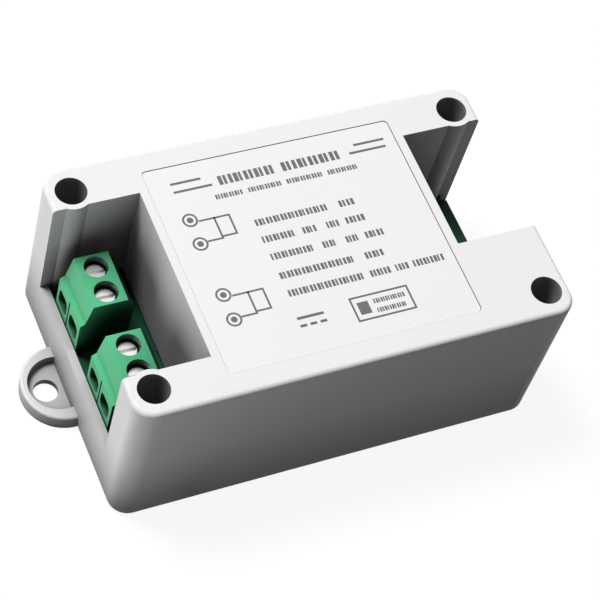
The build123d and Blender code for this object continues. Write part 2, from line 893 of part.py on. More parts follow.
def make_inductor_core():
    """The inductor's ferrite drum, with square flanges."""
    with BuildPart() as core:
        for level in (board_top, board_top + inductor_height - inductor_flange):
            with BuildSketch(Plane.XY.offset(level)):
                with Locations((inductor_x, inductor_y)):
                    RectangleRounded(inductor_size, inductor_size, inductor_corner)
            extrude(amount=inductor_flange)
        with BuildSketch(Plane.XY.offset(board_top)):
            with Locations((inductor_x, inductor_y)):
                Circle(inductor_core_radius)
        extrude(amount=inductor_height)
    return core


def make_inductor_winding():
    """The inductor's winding round the drum."""
    with BuildPart() as winding:
        with BuildSketch(Plane.XY.offset(board_top + inductor_flange + winding_gap)):
            with Locations((inductor_x, inductor_y)):
                Circle(inductor_winding_radius)
                Circle(inductor_core_radius + winding_gap, mode=Mode.SUBTRACT)
        extrude(amount=inductor_height - 2 * inductor_flange - 2 * winding_gap)
    return winding


def make_radio_board():
    """The radio module's own small board."""
    with BuildPart() as module:
        with BuildSketch(Plane.XY.offset(board_top)):
            with Locations((radio_x, radio_y)):
                Rectangle(radio_length, radio_width)
        extrude(amount=radio_thickness)
    return module


def make_radio_can():
    """The radio module's pressed shield can."""
    with BuildPart() as can:
        with BuildSketch(Plane.XY.offset(board_top + radio_thickness)):
            with Locations((radio_x, radio_y - can_shift)):
                Rectangle(can_length, can_width)
        extrude(amount=can_height)
        with BuildSketch(Plane.XY.offset(board_top + radio_thickness)):
            with Locations((radio_x, radio_y - can_shift)):
                Rectangle(can_length - 2 * can_wall, can_width - 2 * can_wall)
        extrude(amount=can_height - can_wall, mode=Mode.SUBTRACT)
    return can


def make_chip_antenna():
    """The ceramic antenna at the module's back edge."""
    with BuildPart() as antenna:
        with BuildSketch(Plane.XY.offset(board_top + radio_thickness)):
            with Locations((radio_x, radio_y + radio_width / 2 - antenna_margin - antenna_width / 2)):
                Rectangle(antenna_length, antenna_width)
        extrude(amount=antenna_height)
    return antenna


def make_button_housing():
    """The pairing button's moulded body with the plunger's bore."""
    body_height = button_height - button_plate
    with BuildPart() as body:
        with BuildSketch(Plane.XY.offset(board_top)):
            with Locations((button_x, button_y)):
                Rectangle(button_size, button_size)
        extrude(amount=body_height)
        with BuildSketch(Plane.XY.offset(board_top + button_floor)):
            with Locations((button_x, button_y)):
                Circle(button_bore)
        extrude(amount=body_height - button_floor, mode=Mode.SUBTRACT)
    return body


def make_button_plate():
    """The pairing button's metal top plate."""
    with BuildPart() as plate:
        with BuildSketch(Plane.XY.offset(board_top + button_height - button_plate)):
            with Locations((button_x, button_y)):
                Rectangle(button_size, button_size)
                Circle(button_stem_radius + button_gap, mode=Mode.SUBTRACT)
        extrude(amount=button_plate)
    return plate


def make_button_plunger():
    """The pairing button's plunger: a flange under the plate and the stem that is pressed."""
    flange_top = board_top + button_height - button_plate - button_gap
    stem_top = board_top + button_height + button_stem_rise
    with BuildPart() as plunger:
        with BuildSketch(Plane.XY.offset(flange_top - button_flange_height)):
            with Locations((button_x, button_y)):
                Circle(button_flange_radius)
        extrude(amount=button_flange_height)
        with BuildSketch(Plane.XY.offset(flange_top)):
            with Locations((button_x, button_y)):
                Circle(button_stem_radius)
        extrude(amount=stem_top - flange_top)
        fillet(plunger.edges().group_by(Axis.Z)[-1], button_stem_edge)
    return plunger


def make_regulator_chip():
    """The regulator: a small-outline package with four legs on each side."""
    with BuildPart() as chip:
        with BuildSketch(Plane.XY.offset(board_top + chip_leg_thickness)):
            with Locations((chip_x, chip_y)):
                Rectangle(chip_length, chip_width)
        extrude(amount=chip_height)
        with BuildSketch(Plane.XY.offset(board_top)):
            with Locations((chip_x, chip_y)):
                with GridLocations(chip_leg_pitch, 0, chip_legs_per_side, 1):
                    Rectangle(chip_leg_width, chip_width + 2 * chip_leg_reach)
        extrude(amount=chip_leg_thickness)
    return chip


def make_block(x, y, length, width, height):
    """A small moulded package lying on the board."""
    with BuildPart() as block:
        with BuildSketch(Plane.XY.offset(board_top)):
            with Locations((x, y)):
                Rectangle(length, width)
        extrude(amount=height, taper=package_taper)
    return block


def make_status_led():
    """The status light: a small carrier with a domed lens."""
    with BuildPart() as led:
        with BuildSketch(Plane.XY.offset(board_top)):
            with Locations((button_x, led_y)):
                Rectangle(led_length, led_width)
        extrude(amount=led_height)
        with BuildSketch(Plane.XY.offset(board_top + led_height)):
            with Locations((button_x, led_y)):
                Circle(led_lens_radius)
        extrude(amount=led_lens_height, taper=lens_taper)
    return led


def make_chip_row(x, y, count):
    """A row of like chip parts, as separate solids."""
    with BuildPart() as row:
        with BuildSketch(Plane.XY.offset(board_top)):
            for k in range(count):
                with Locations((x, y + (k - (count - 1) / 2) * chip_part_pitch)):
                    Rectangle(chip_part_length, chip_part_width)
        extrude(amount=chip_part_height)
    return row


export(make_base_tray(), "base_tray")
export(make_top_cover(), "top_cover")
export(make_label(), "cover_label")
for number, place in enumerate(column_places, start=1):
    export(make_cover_screw(place), f"cover_screw_{number}")
export(make_circuit_board(), "circuit_board")
export(make_board_screws(), "board_screws")
for name, middle in terminal_blocks.items():
    export(make_terminal_housing(middle), f"terminal_housing_{name}")
    export(make_contact_bars(middle), f"contact_bars_{name}")
for number, y in enumerate(all_poles, start=1):
    export(make_terminal_screw(y), f"terminal_screw_{number}")
    export(make_clamp_cage(y), f"clamp_cage_{number}")
export(make_relay_case(), "relay_case")
export(make_relay_base(), "relay_base")
export(make_relay_yoke(), "relay_yoke")
export(make_relay_core(), "relay_core")
export(make_relay_bobbin(), "relay_bobbin")
export(make_relay_winding(), "relay_winding")
export(make_relay_armature(), "relay_armature")
export(make_moving_contact(), "relay_moving_contact")
closed_pad = upper_contact_top + contact_gap
export(make_fixed_contact(1, closed_pad + pad_height, closed_pad), "relay_closed_contact")
open_pad = lower_contact_bottom - contact_travel
export(make_fixed_contact(-1, open_pad - pad_height - spring_arm_thickness, open_pad), "relay_open_contact")
export(make_coil_pins(), "relay_coil_pins")
for number, (x, y) in enumerate(capacitor_places, start=1):
    export(make_capacitor(x, y), f"capacitor_{number}")
export(make_capacitor_leads(), "capacitor_leads")
export(make_inductor_core(), "inductor_core")
export(make_inductor_winding(), "inductor_winding")
export(make_radio_board(), "radio_board")
export(make_radio_can(), "radio_shield_can")
export(make_chip_antenna(), "chip_antenna")
export(make_button_housing(), "button_housing")
export(make_button_plate(), "button_plate")
export(make_button_plunger(), "button_plunger")
export(make_regulator_chip(), "regulator_chip")
export(make_block(diode_x, diode_y, diode_length, diode_width, diode_height), "flyback_diode")
export(make_block(transistor_x, transistor_y, transistor_length, transistor_width, transistor_height),
       "driver_transistor")
export(make_status_led(), "status_led")
export(make_chip_row(resistor_x, resistor_y, resistor_count), "chip_resistors")
export(make_chip_row(ceramic_x, ceramic_y, ceramic_count), "chip_capacitors")
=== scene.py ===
"""Smart relay module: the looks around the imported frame, in metres and with the frame's origin."""
import json
import math

import bmesh
import bpy
from mathutils import Matrix, Vector


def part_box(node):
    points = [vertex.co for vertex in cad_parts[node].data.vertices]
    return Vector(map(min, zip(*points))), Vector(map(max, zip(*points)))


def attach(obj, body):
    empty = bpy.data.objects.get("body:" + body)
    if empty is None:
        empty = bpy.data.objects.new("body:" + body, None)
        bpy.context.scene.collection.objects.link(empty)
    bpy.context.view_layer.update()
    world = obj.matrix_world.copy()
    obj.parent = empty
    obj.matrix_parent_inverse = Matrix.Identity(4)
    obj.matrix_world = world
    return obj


MM = 0.001

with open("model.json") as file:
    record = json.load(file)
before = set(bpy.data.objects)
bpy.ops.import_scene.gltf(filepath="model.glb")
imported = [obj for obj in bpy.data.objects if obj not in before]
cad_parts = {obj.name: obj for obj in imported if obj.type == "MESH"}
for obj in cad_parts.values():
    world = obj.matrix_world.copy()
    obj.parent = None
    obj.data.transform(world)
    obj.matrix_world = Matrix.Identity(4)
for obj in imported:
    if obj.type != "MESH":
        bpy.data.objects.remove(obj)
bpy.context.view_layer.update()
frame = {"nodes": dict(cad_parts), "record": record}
nodes = frame["nodes"]

# Camera, at the photograph's viewing angle
VIEW_TURN = math.radians(38.55)
VIEW_HEIGHT = math.radians(54.67)
VIEW_ROLL = math.radians(19.4)
VIEW_DISTANCE = 407.5 * MM
VIEW_TARGET = Vector((8.2 * MM, 7.9 * MM, 0))
LENS = 134.6
SENSOR = 36.0
CLIP_START = 10 * MM

# Light
AMBIENT = 0.07
KEY_DIRECTION = (-0.31, 0.38, 1.0)
KEY_DISTANCE = 1.6
KEY_SIZE = 0.5
KEY_POWER = 29.0
FLOOR_BOUNCE = 0.03
FLOOR_BOUNCE_LEFT = 0.85
FLOOR_LEFT_START = -50 * MM
FLOOR_LEFT_END = -44 * MM
FLOOR_PAINT = 0.82
FLOOR_HALF_SIZE = 6.0
FLOOR_ROUGHNESS = 0.9
FLOOR_GLOW = 1.06
FLOOR_GLOW_SHARE = 0.86
# keeps the floor and the flat underside from lying in one plane
FLOOR_GAP = 0.02 * MM
# ambient occlusion, from 0 in a deep crevice to 1 on an open face, at which the painted crevice shade is
# darkest
PAINTED_SHADE_START = 0.3

# Label print, in millimetres on the label
INK_THICKNESS = 0.02 * MM
TITLE_HEIGHT = 2.3
SUBTITLE_HEIGHT = 1.2
LINE_HEIGHT = 1.6
RULE_HEIGHT = 0.45
SYMBOL_HEIGHT = 0.5
TICK_CELL_SHARE = 0.42
TICK_HEIGHT_SHARE = 0.8
# width of each tick as a share of its cell, taken in turn
TICK_WIDTHS = (0.74, 0.55, 0.66, 0.8, 0.5, 0.7, 0.6, 0.78, 0.54, 0.72, 0.62)
# middle height of the row, height of its ticks, spans from left to right
PRINT_ROWS = [
    (15.9, TITLE_HEIGHT, [(-10.7, -0.3), (1.0, 12.1)]),
    (12.7, SUBTITLE_HEIGHT, [(-12.4, -7.4), (-6.4, -0.2), (0.7, 7.5), (8.4, 14.1)]),
    (6.1, LINE_HEIGHT, [(-7.8, 5.6), (7.7, 10.6)]),
    (2.6, LINE_HEIGHT, [(-7.9, -1.9), (-0.5, 2.1), (3.9, 6.3), (7.5, 11.1)]),
    (-1.0, LINE_HEIGHT, [(-7.8, 0.1), (1.7, 4.2), (6.0, 8.4), (9.6, 13.2)]),
    (-4.9, LINE_HEIGHT, [(-7.8, 5.9), (7.9, 11.4)]),
    (-8.5, LINE_HEIGHT, [(-7.7, 6.2), (7.3, 11.1), (12.0, 14.5), (15.3, 21.2)]),
]
RULES = [
    (16.9, -19.0, -13.5), (15.2, -19.0, -12.0),
    (16.9, 15.1, 20.9), (15.4, 13.7, 20.7),
]
# direct current symbol: middle height of each dash and its ends
SYMBOL_DASHES = [(-13.6, -8.2, -3.4), (-15.1, -8.2, -7.0), (-15.1, -6.4, -5.2), (-15.1, -4.6, -3.4)]
# plain frame with two rows of ticks: left, right, bottom and top, then height of the rows and their ends
PANEL = (1.6, 12.4, -17.0, -12.2)
PANEL_ROWS = [(-13.7, 1.1, [(5.6, 11.4)]), (-15.5, 1.1, [(5.6, 11.0)])]
PANEL_MARK = (2.6, 4.6, -15.8, -13.4)
# middle height of each wiring pictogram
PICTOGRAM_PLACES = [6.8, -8.5]
PICTOGRAM_X = -18.3
TERMINAL_RADIUS = 1.35
TERMINAL_DOT_SHARE = 0.42
TERMINAL_SPACING = 4.9
COIL_LEFT = -14.0
COIL_RIGHT = -11.7
COIL_HEIGHT = 4.2
LINE_WIDTH = 0.35
DOT_STEPS = 32

# Board and its parts
BOARD_GLOSS = 0.1
TRACK_SCALE = 260.0
TRACK_START = 0.62
OUTLINED_NODES = (
    "relay_case", "inductor_core", "regulator_chip", "flyback_diode", "driver_transistor", "button_housing",
)
MARK_THICKNESS = 0.02 * MM
OUTLINE_WIDTH = 0.18 * MM
OUTLINE_GAP = 0.35 * MM
WIRE_RIDGE = 0.07 * MM
WIRE_STEPS = 6
RIDGE_MIDDLE = 0.5
INDUCTOR_TURNS = 11
RELAY_TURNS = 26
VENT_RADIUS = 3.0 * MM
VENT_GAP = 0.22 * MM
VENT_STEPS = 12
STRIPE_LIFT = 0.02 * MM
STRIPE_HALF_ANGLE = math.radians(24)
STRIPE_STEPS = 10
STRIPE_FOOT = 2.6 * MM
STRIPE_TOP_GAP = 0.8 * MM
END_CAP_SHARE = 0.22
END_CAP_LIFT = 0.02 * MM

# Meshes
SHARP_ANGLE = math.radians(28)
LATHE_STEPS = 48
WELD_DISTANCE = 0.001 * MM


def new_object(name, mesh, body, material):
    """Links a mesh as a piece that rides on a body, with its material."""
    piece = bpy.data.objects.new(name, mesh)
    bpy.context.scene.collection.objects.link(piece)
    piece.data.materials.append(material)
    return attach(piece, body)


def mesh_from(builder, name):
    """Turns a finished bmesh into a mesh with outward normals."""
    bmesh.ops.recalc_face_normals(builder, faces=builder.faces)
    mesh = bpy.data.meshes.new(name)
    builder.to_mesh(mesh)
    builder.free()
    return mesh


def add_prism(builder, outline, bottom, top):
    """Adds an upright prism over a closed outline of (x, y) points."""
    low = [builder.verts.new((x, y, bottom)) for x, y in outline]
    high = [builder.verts.new((x, y, top)) for x, y in outline]
    builder.faces.new(reversed(low))
    builder.faces.new(high)
    for k in range(len(outline)):
        n = (k + 1) % len(outline)
        builder.faces.new((low[k], low[n], high[n], high[k]))


def add_lathe(builder, centre, profile, steps=LATHE_STEPS):
    """Turns a closed profile of (radius, z) points around an upright axis."""
    loops = []
    for radius, z in profile:
        loops.append([
            builder.verts.new((
                centre[0] + radius * math.cos(math.tau * k / steps),
                centre[1] + radius * math.sin(math.tau * k / steps),
                z,
            ))
            for k in range(steps)
        ])
    for a in range(len(profile)):
        b = (a + 1) % len(profile)
        for k in range(steps):
            n = (k + 1) % steps
            builder.faces.new((loops[a][k], loops[a][n], loops[b][n], loops[b][k]))


def add_ring(builder, centre, inner, outer, bottom, top):
    """Adds a flat ring with a hole."""
    add_lathe(builder, centre, [(outer, bottom), (outer, top), (inner, top), (inner, bottom)])


def arc_points(centre, radius, start, end, steps):
    """Points along an arc, both ends included."""
    return [
        (
            centre[0] + radius * math.cos(start + (end - start) * k / steps),
            centre[1] + radius * math.sin(start + (end - start) * k / steps),
        )
        for k in range(steps + 1)
    ]


def box_points(x0, x1, y0, y1):
    return [(x0, y0), (x1, y0), (x1, y1), (x0, y1)]


# Materials


def new_material(name):
    """An empty node material with its Principled shader, and the two as a pair."""
    material = bpy.data.materials.new(name)
    material.use_nodes = True
    return material, material.node_tree.nodes["Principled BSDF"]


def add_node(material, kind, **values):
    """Adds a node, sets its plain properties, and sets the inputs whose names are given with spaces as _."""
    node = material.node_tree.nodes.new(kind)
    for key, value in values.items():
        socket = node.inputs.get(key.replace("_", " "))
        if socket is not None:
            socket.default_value = value
        else:
            setattr(node, key, value)
    return node


def link(material, source, output, target, socket):
    material.node_tree.links.new(source.outputs[output], target.inputs[socket])


def object_noise(material, scale, detail=3.0, roughness=0.5):
    """Noise in the object's own metres, so that its grain has a real size."""
    place = add_node(material, "ShaderNodeTexCoord")
    noise = add_node(material, "ShaderNodeTexNoise", Scale=scale, Detail=detail, Roughness=roughness)
    link(material, place, "Object", noise, "Vector")
    return noise


def vary_colour(material, shader, noise, low, high, start=0.35, end=0.65, painted_crevice_shade=None):
    """Drives the base colour between two near colours by a noise, and paints shade into it: darker in
    crevices of a given depth.
    """
    ramp = add_node(material, "ShaderNodeValToRGB")
    ramp.color_ramp.elements[0].position = start
    ramp.color_ramp.elements[0].color = (*low, 1)
    ramp.color_ramp.elements[1].position = end
    ramp.color_ramp.elements[1].color = (*high, 1)
    link(material, noise, "Fac", ramp, "Fac")
    if painted_crevice_shade is None:
        link(material, ramp, "Color", shader, "Base Color")
        return
    # painted shade: ambient occlusion scales the base colour down, to the darkest share deep in a crevice
    depth, darkest = painted_crevice_shade
    openness = add_node(material, "ShaderNodeAmbientOcclusion", Distance=depth)
    span = add_node(material, "ShaderNodeMapRange")
    span.inputs["From Min"].default_value = PAINTED_SHADE_START
    span.inputs["To Min"].default_value = darkest
    link(material, openness, "AO", span, "Value")
    shade = add_node(material, "ShaderNodeVectorMath", operation="SCALE")
    link(material, ramp, "Color", shade, 0)
    link(material, span, "Result", shade, "Scale")
    link(material, shade, "Vector", shader, "Base Color")


def vary_roughness(material, shader, noise, low, high):
    span = add_node(material, "ShaderNodeMapRange")
    span.inputs["To Min"].default_value = low
    span.inputs["To Max"].default_value = high
    link(material, noise, "Fac", span, "Value")
    link(material, span, "Result", shader, "Roughness")


def add_bump(material, shader, noise, distance, strength=0.5):
    bump = add_node(material, "ShaderNodeBump", Strength=strength, Distance=distance)
    link(material, noise, "Fac", bump, "Height")
    link(material, bump, "Normal", shader, "Normal")


def moulded(
    name, low, high, rough_low, rough_high, grain=9000, depth=0.006 * MM, broad=90, gloss=0.5, painted_crevice_shade=None
):
    """Moulded plastic: a broad faint change of colour, a fine spark-eroded grain, and painted shade in
    crevices where given.
    """
    material, shader = new_material(name)
    shader.inputs["Specular IOR Level"].default_value = gloss
    vary_colour(material, shader, object_noise(material, broad, 1.0), low, high, 0.2, 0.8, painted_crevice_shade)
    fine = object_noise(material, grain, 2.0)
    vary_roughness(material, shader, fine, rough_low, rough_high)
    add_bump(material, shader, fine, depth)
    return material


def metal(name, low, high, rough_low, rough_high, grain=5000, depth=0.0004 * MM):
    """Plated or drawn metal with fine changes of roughness."""
    material, shader = new_material(name)
    shader.inputs["Metallic"].default_value = 1.0
    vary_colour(material, shader, object_noise(material, 600, 3.0), low, high)
    fine = object_noise(material, grain, 4.0)
    vary_roughness(material, shader, fine, rough_low, rough_high)
    add_bump(material, shader, fine, depth)
    return material


def circuit_laminate(name):
    """Solder mask over tracks: straight runs show as a lighter green under the mask."""
    material, shader = new_material(name)
    place = add_node(material, "ShaderNodeTexCoord")
    cells = add_node(material, "ShaderNodeTexVoronoi", Scale=TRACK_SCALE)
    cells.distance = "MANHATTAN"
    cells.feature = "F2"
    link(material, place, "Object", cells, "Vector")
    ramp = add_node(material, "ShaderNodeValToRGB")
    ramp.color_ramp.interpolation = "CONSTANT"
    ramp.color_ramp.elements[0].color = (0.004, 0.030, 0.013, 1)
    ramp.color_ramp.elements[1].position = TRACK_START
    ramp.color_ramp.elements[1].color = (0.009, 0.060, 0.026, 1)
    link(material, cells, "Distance", ramp, "Fac")
    link(material, ramp, "Color", shader, "Base Color")
    shader.inputs["Specular IOR Level"].default_value = BOARD_GLOSS
    vary_roughness(material, shader, object_noise(material, 2500), 0.30, 0.42)
    return material


MATERIALS = {
    "case_plastic": moulded(
        "case_plastic", (0.79, 0.785, 0.785), (0.805, 0.80, 0.80), 0.40, 0.52, broad=45, gloss=0.15,
        # painted shade in crevices, down to 0.27 of the colour
        painted_crevice_shade=(18 * MM, 0.27),
    ),
    "label_film": moulded(
        "label_film", (0.80, 0.80, 0.81), (0.815, 0.815, 0.825), 0.32, 0.38,
        depth=0.001 * MM, broad=45, gloss=0.3,
    ),
    "label_ink": moulded(
        "label_ink", (0.105, 0.105, 0.108), (0.130, 0.130, 0.133), 0.40, 0.50, depth=0.001 * MM
    ),
    "screw_steel": metal("screw_steel", (0.085, 0.085, 0.09), (0.11, 0.11, 0.115), 0.35, 0.5),
    "board_laminate": circuit_laminate("board_laminate"),
    "board_print": moulded("board_print", (0.66, 0.67, 0.64), (0.72, 0.73, 0.70), 0.5, 0.6, depth=0.001 * MM),
    "terminal_green": moulded(
        "terminal_green", (0.090, 0.52, 0.250), (0.100, 0.55, 0.265), 0.34, 0.44, broad=300, gloss=0.2,
        # painted shade in crevices, down to 0.02 of the colour
        painted_crevice_shade=(14 * MM, 0.02),
    ),
    "nickel": metal("nickel", (0.70, 0.69, 0.68), (0.78, 0.77, 0.76), 0.24, 0.34),
    "tin": metal("tin", (0.62, 0.62, 0.61), (0.74, 0.74, 0.73), 0.28, 0.45),
    "relay_plastic": moulded("relay_plastic", (0.010, 0.035, 0.17), (0.014, 0.045, 0.21), 0.25, 0.35),
    "bobbin_plastic": moulded("bobbin_plastic", (0.62, 0.58, 0.46), (0.68, 0.64, 0.52), 0.4, 0.5),
    "soft_iron": metal("soft_iron", (0.42, 0.42, 0.43), (0.52, 0.52, 0.53), 0.3, 0.45),
    "copper": metal("copper", (0.62, 0.24, 0.10), (0.72, 0.30, 0.13), 0.25, 0.4),
    "contact_bronze": metal("contact_bronze", (0.60, 0.42, 0.20), (0.70, 0.50, 0.26), 0.25, 0.38),
    "can_sleeve": moulded("can_sleeve", (0.018, 0.018, 0.024), (0.028, 0.028, 0.034), 0.22, 0.32),
    "can_bare": metal("can_bare", (0.66, 0.66, 0.67), (0.74, 0.74, 0.75), 0.3, 0.42),
    "can_stripe": moulded("can_stripe", (0.34, 0.35, 0.37), (0.40, 0.41, 0.43), 0.3, 0.4),
    "ferrite": moulded("ferrite", (0.030, 0.030, 0.032), (0.05, 0.05, 0.052), 0.55, 0.7),
    "chip_black": moulded("chip_black", (0.012, 0.012, 0.013), (0.02, 0.02, 0.021), 0.45, 0.6),
    "ceramic": moulded("ceramic", (0.42, 0.31, 0.20), (0.50, 0.38, 0.26), 0.35, 0.5),
    "shield_steel": metal("shield_steel", (0.60, 0.60, 0.60), (0.70, 0.70, 0.70), 0.25, 0.4),
    "lens_clear": moulded(
        "lens_clear", (0.78, 0.80, 0.82), (0.84, 0.86, 0.88), 0.08, 0.14, depth=0.0005 * MM
    ),
}


def dress_nodes():
    """Gives each CAD node the finished material of its slot in the record."""
    for part in frame["record"]["subparts"]:
        piece = nodes[part["node"]]
        piece.data.materials.clear()
        piece.data.materials.append(MATERIALS[part["material_slot"]])


def smooth_nodes():
    """Rounds the shading of turned and filleted faces, and keeps sharp edges sharp."""
    for piece in nodes.values():
        piece.data.shade_smooth()
        piece.data.set_sharp_from_angle(angle=SHARP_ANGLE)


# Label


def build_label_print():
    """Rows of plain ticks where words would stand, rules beside the title, and two wiring pictograms."""
    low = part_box("cover_label")[1].z
    high = low + INK_THICKNESS
    builder = bmesh.new()

    def bar(x0, x1, y0, y1):
        add_prism(builder, box_points(x0 * MM, x1 * MM, y0 * MM, y1 * MM), low, high)

    ticks = 0
    for middle, height, spans in PRINT_ROWS + PANEL_ROWS:
        for start, end in spans:
            count = max(1, round((end - start) / (height * TICK_CELL_SHARE)))
            cell = (end - start) / count
            for k in range(count):
                left = start + k * cell
                right = left + cell * TICK_WIDTHS[ticks % len(TICK_WIDTHS)]
                foot = middle - height / 2
                bar(left, right, foot, foot + TICK_HEIGHT_SHARE * height)
                ticks += 1
    for middle, start, end in RULES:
        bar(start, end, middle - RULE_HEIGHT / 2, middle + RULE_HEIGHT / 2)
    for middle, start, end in SYMBOL_DASHES:
        bar(start, end, middle - SYMBOL_HEIGHT / 2, middle + SYMBOL_HEIGHT / 2)
    left, right, bottom, roof = PANEL
    bar(left, left + LINE_WIDTH, bottom, roof)
    bar(right - LINE_WIDTH, right, bottom, roof)
    bar(left + LINE_WIDTH, right - LINE_WIDTH, bottom, bottom + LINE_WIDTH)
    bar(left + LINE_WIDTH, right - LINE_WIDTH, roof - LINE_WIDTH, roof)
    bar(*PANEL_MARK)
    for middle in PICTOGRAM_PLACES:
        for side in (1, -1):
            centre = (PICTOGRAM_X * MM, (middle + side * TERMINAL_SPACING / 2) * MM)
            add_ring(builder, centre, (TERMINAL_RADIUS - LINE_WIDTH) * MM, TERMINAL_RADIUS * MM, low, high)
            dot = arc_points(centre, TERMINAL_RADIUS * TERMINAL_DOT_SHARE * MM, 0, math.tau, DOT_STEPS)
            add_prism(builder, dot[:-1], low, high)
            end_y = middle + side * COIL_HEIGHT / 2
            bar(PICTOGRAM_X + TERMINAL_RADIUS, COIL_LEFT, end_y - LINE_WIDTH, end_y)
        bottom, roof = middle - COIL_HEIGHT / 2, middle + COIL_HEIGHT / 2
        bar(COIL_LEFT - LINE_WIDTH, COIL_LEFT, bottom, roof)
        bar(COIL_RIGHT, COIL_RIGHT + LINE_WIDTH, bottom, roof)
        bar(COIL_LEFT, COIL_RIGHT, roof - LINE_WIDTH, roof)
        bar(COIL_LEFT, COIL_RIGHT, bottom, bottom + LINE_WIDTH)
    mesh = mesh_from(builder, "label_print")
    new_object("label_print", mesh, "cover", MATERIALS["label_ink"])


# Inside


def middle_of(low, high):
    return ((low.x + high.x) / 2, (low.y + high.y) / 2)


def build_board_print():
    """White outlines printed on the board around its larger parts."""
    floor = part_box("circuit_board")[1].z
    builder = bmesh.new()
    for name in OUTLINED_NODES:
        low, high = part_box(name)
        x0, x1 = low.x - OUTLINE_GAP, high.x + OUTLINE_GAP
        y0, y1 = low.y - OUTLINE_GAP, high.y + OUTLINE_GAP
        for outline in (
            (x0 - OUTLINE_WIDTH, x0, y0 - OUTLINE_WIDTH, y1 + OUTLINE_WIDTH),
            (x1, x1 + OUTLINE_WIDTH, y0 - OUTLINE_WIDTH, y1 + OUTLINE_WIDTH),
            (x0, x1, y0 - OUTLINE_WIDTH, y0),
            (x0, x1, y1, y1 + OUTLINE_WIDTH),
        ):
            add_prism(builder, box_points(*outline), floor, floor + MARK_THICKNESS)
    for name in ("capacitor_1", "capacitor_2"):
        low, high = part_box(name)
        radius = (high.x - low.x) / 2 + OUTLINE_GAP
        add_ring(builder, middle_of(low, high), radius, radius + OUTLINE_WIDTH, floor, floor + MARK_THICKNESS)
    mesh = mesh_from(builder, "board_print")
    new_object("board_print", mesh, "base", MATERIALS["board_print"])


def build_turns(name, node, turns):
    """A wire winding: one ridge for each turn around the CAD winding."""
    low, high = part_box(node)
    radius = (high.x - low.x) / 2
    pitch = (high.z - low.z) / turns
    profile = [(radius - WIRE_RIDGE, low.z)]
    for k in range(turns * WIRE_STEPS + 1):
        swell = abs(math.sin(math.pi * k / WIRE_STEPS))
        profile.append((radius + WIRE_RIDGE * (swell - RIDGE_MIDDLE), low.z + pitch * k / WIRE_STEPS))
    profile.append((radius - WIRE_RIDGE, high.z))
    builder = bmesh.new()
    add_lathe(builder, middle_of(low, high), profile)
    mesh = mesh_from(builder, name)
    mesh.shade_smooth()
    new_object(name, mesh, "base", MATERIALS["copper"])


def build_capacitor_marks(number):
    """The bare scored top and the pale stripe of an electrolytic capacitor."""
    low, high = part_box(f"capacitor_{number}")
    centre = middle_of(low, high)
    radius = (high.x - low.x) / 2
    top = bmesh.new()
    for quarter in range(4):
        turn = quarter * math.tau / 4
        reach = math.asin(VENT_GAP / 2 / VENT_RADIUS)
        shift = VENT_GAP / math.sqrt(2)
        diagonal = turn + math.pi / 4
        inner = (centre[0] + shift * math.cos(diagonal), centre[1] + shift * math.sin(diagonal))
        rim = arc_points(centre, VENT_RADIUS, turn + reach, turn + math.pi / 2 - reach, VENT_STEPS)
        add_prism(top, [inner, *rim], high.z, high.z + MARK_THICKNESS)
    top_mesh = mesh_from(top, "top")
    new_object(f"capacitor_{number}_top", top_mesh, "base", MATERIALS["can_bare"])
    stripe = bmesh.new()
    outer = arc_points(centre, radius + STRIPE_LIFT, -STRIPE_HALF_ANGLE, STRIPE_HALF_ANGLE, STRIPE_STEPS)
    inner = arc_points(centre, radius - STRIPE_LIFT, STRIPE_HALF_ANGLE, -STRIPE_HALF_ANGLE, STRIPE_STEPS)
    add_prism(stripe, outer + inner, low.z + STRIPE_FOOT, high.z - STRIPE_TOP_GAP)
    stripe_mesh = mesh_from(stripe, "stripe")
    new_object(f"capacitor_{number}_stripe", stripe_mesh, "base", MATERIALS["can_stripe"])


def island_boxes(node):
    """The lowest and highest corner of each loose piece of a node's mesh."""
    builder = bmesh.new()
    builder.from_mesh(nodes[node].data)
    bmesh.ops.remove_doubles(builder, verts=builder.verts, dist=WELD_DISTANCE)
    reached = set()
    boxes = []
    for first in builder.verts:
        if first in reached:
            continue
        reached.add(first)
        waiting, island = [first], []
        while waiting:
            vertex = waiting.pop()
            island.append(vertex.co.copy())
            for line in vertex.link_edges:
                other = line.other_vert(vertex)
                if other not in reached:
                    reached.add(other)
                    waiting.append(other)
        low = Vector([min(co[axis] for co in island) for axis in range(3)])
        high = Vector([max(co[axis] for co in island) for axis in range(3)])
        boxes.append((low, high))
    builder.free()
    return boxes


def build_end_caps(name, node):
    """The tinned ends of chip resistors or chip capacitors."""
    builder = bmesh.new()
    for low, high in island_boxes(node):
        low, high = low - Vector((END_CAP_LIFT,) * 3), high + Vector((END_CAP_LIFT,) * 3)
        along_x = high.x - low.x > high.y - low.y
        cap = END_CAP_SHARE * max(high.x - low.x, high.y - low.y)
        ends = (
            [(low.x, low.x + cap, low.y, high.y), (high.x - cap, high.x, low.y, high.y)] if along_x
            else [(low.x, high.x, low.y, low.y + cap), (low.x, high.x, high.y - cap, high.y)]
        )
        for end in ends:
            add_prism(builder, box_points(*end), low.z + END_CAP_LIFT, high.z)
    new_object(name, mesh_from(builder, name), "base", MATERIALS["tin"])


# Studio


def seen_by_eye(owner):
    """One for camera, glossy and transmission rays, which see the pale background."""
    rays = add_node(owner, "ShaderNodeLightPath")
    first = add_node(owner, "ShaderNodeMath", operation="MAXIMUM")
    link(owner, rays, "Is Camera Ray", first, 0)
    link(owner, rays, "Is Glossy Ray", first, 1)
    both = add_node(owner, "ShaderNodeMath", operation="MAXIMUM")
    link(owner, first, 0, both, 0)
    link(owner, rays, "Is Transmission Ray", both, 1)
    return both


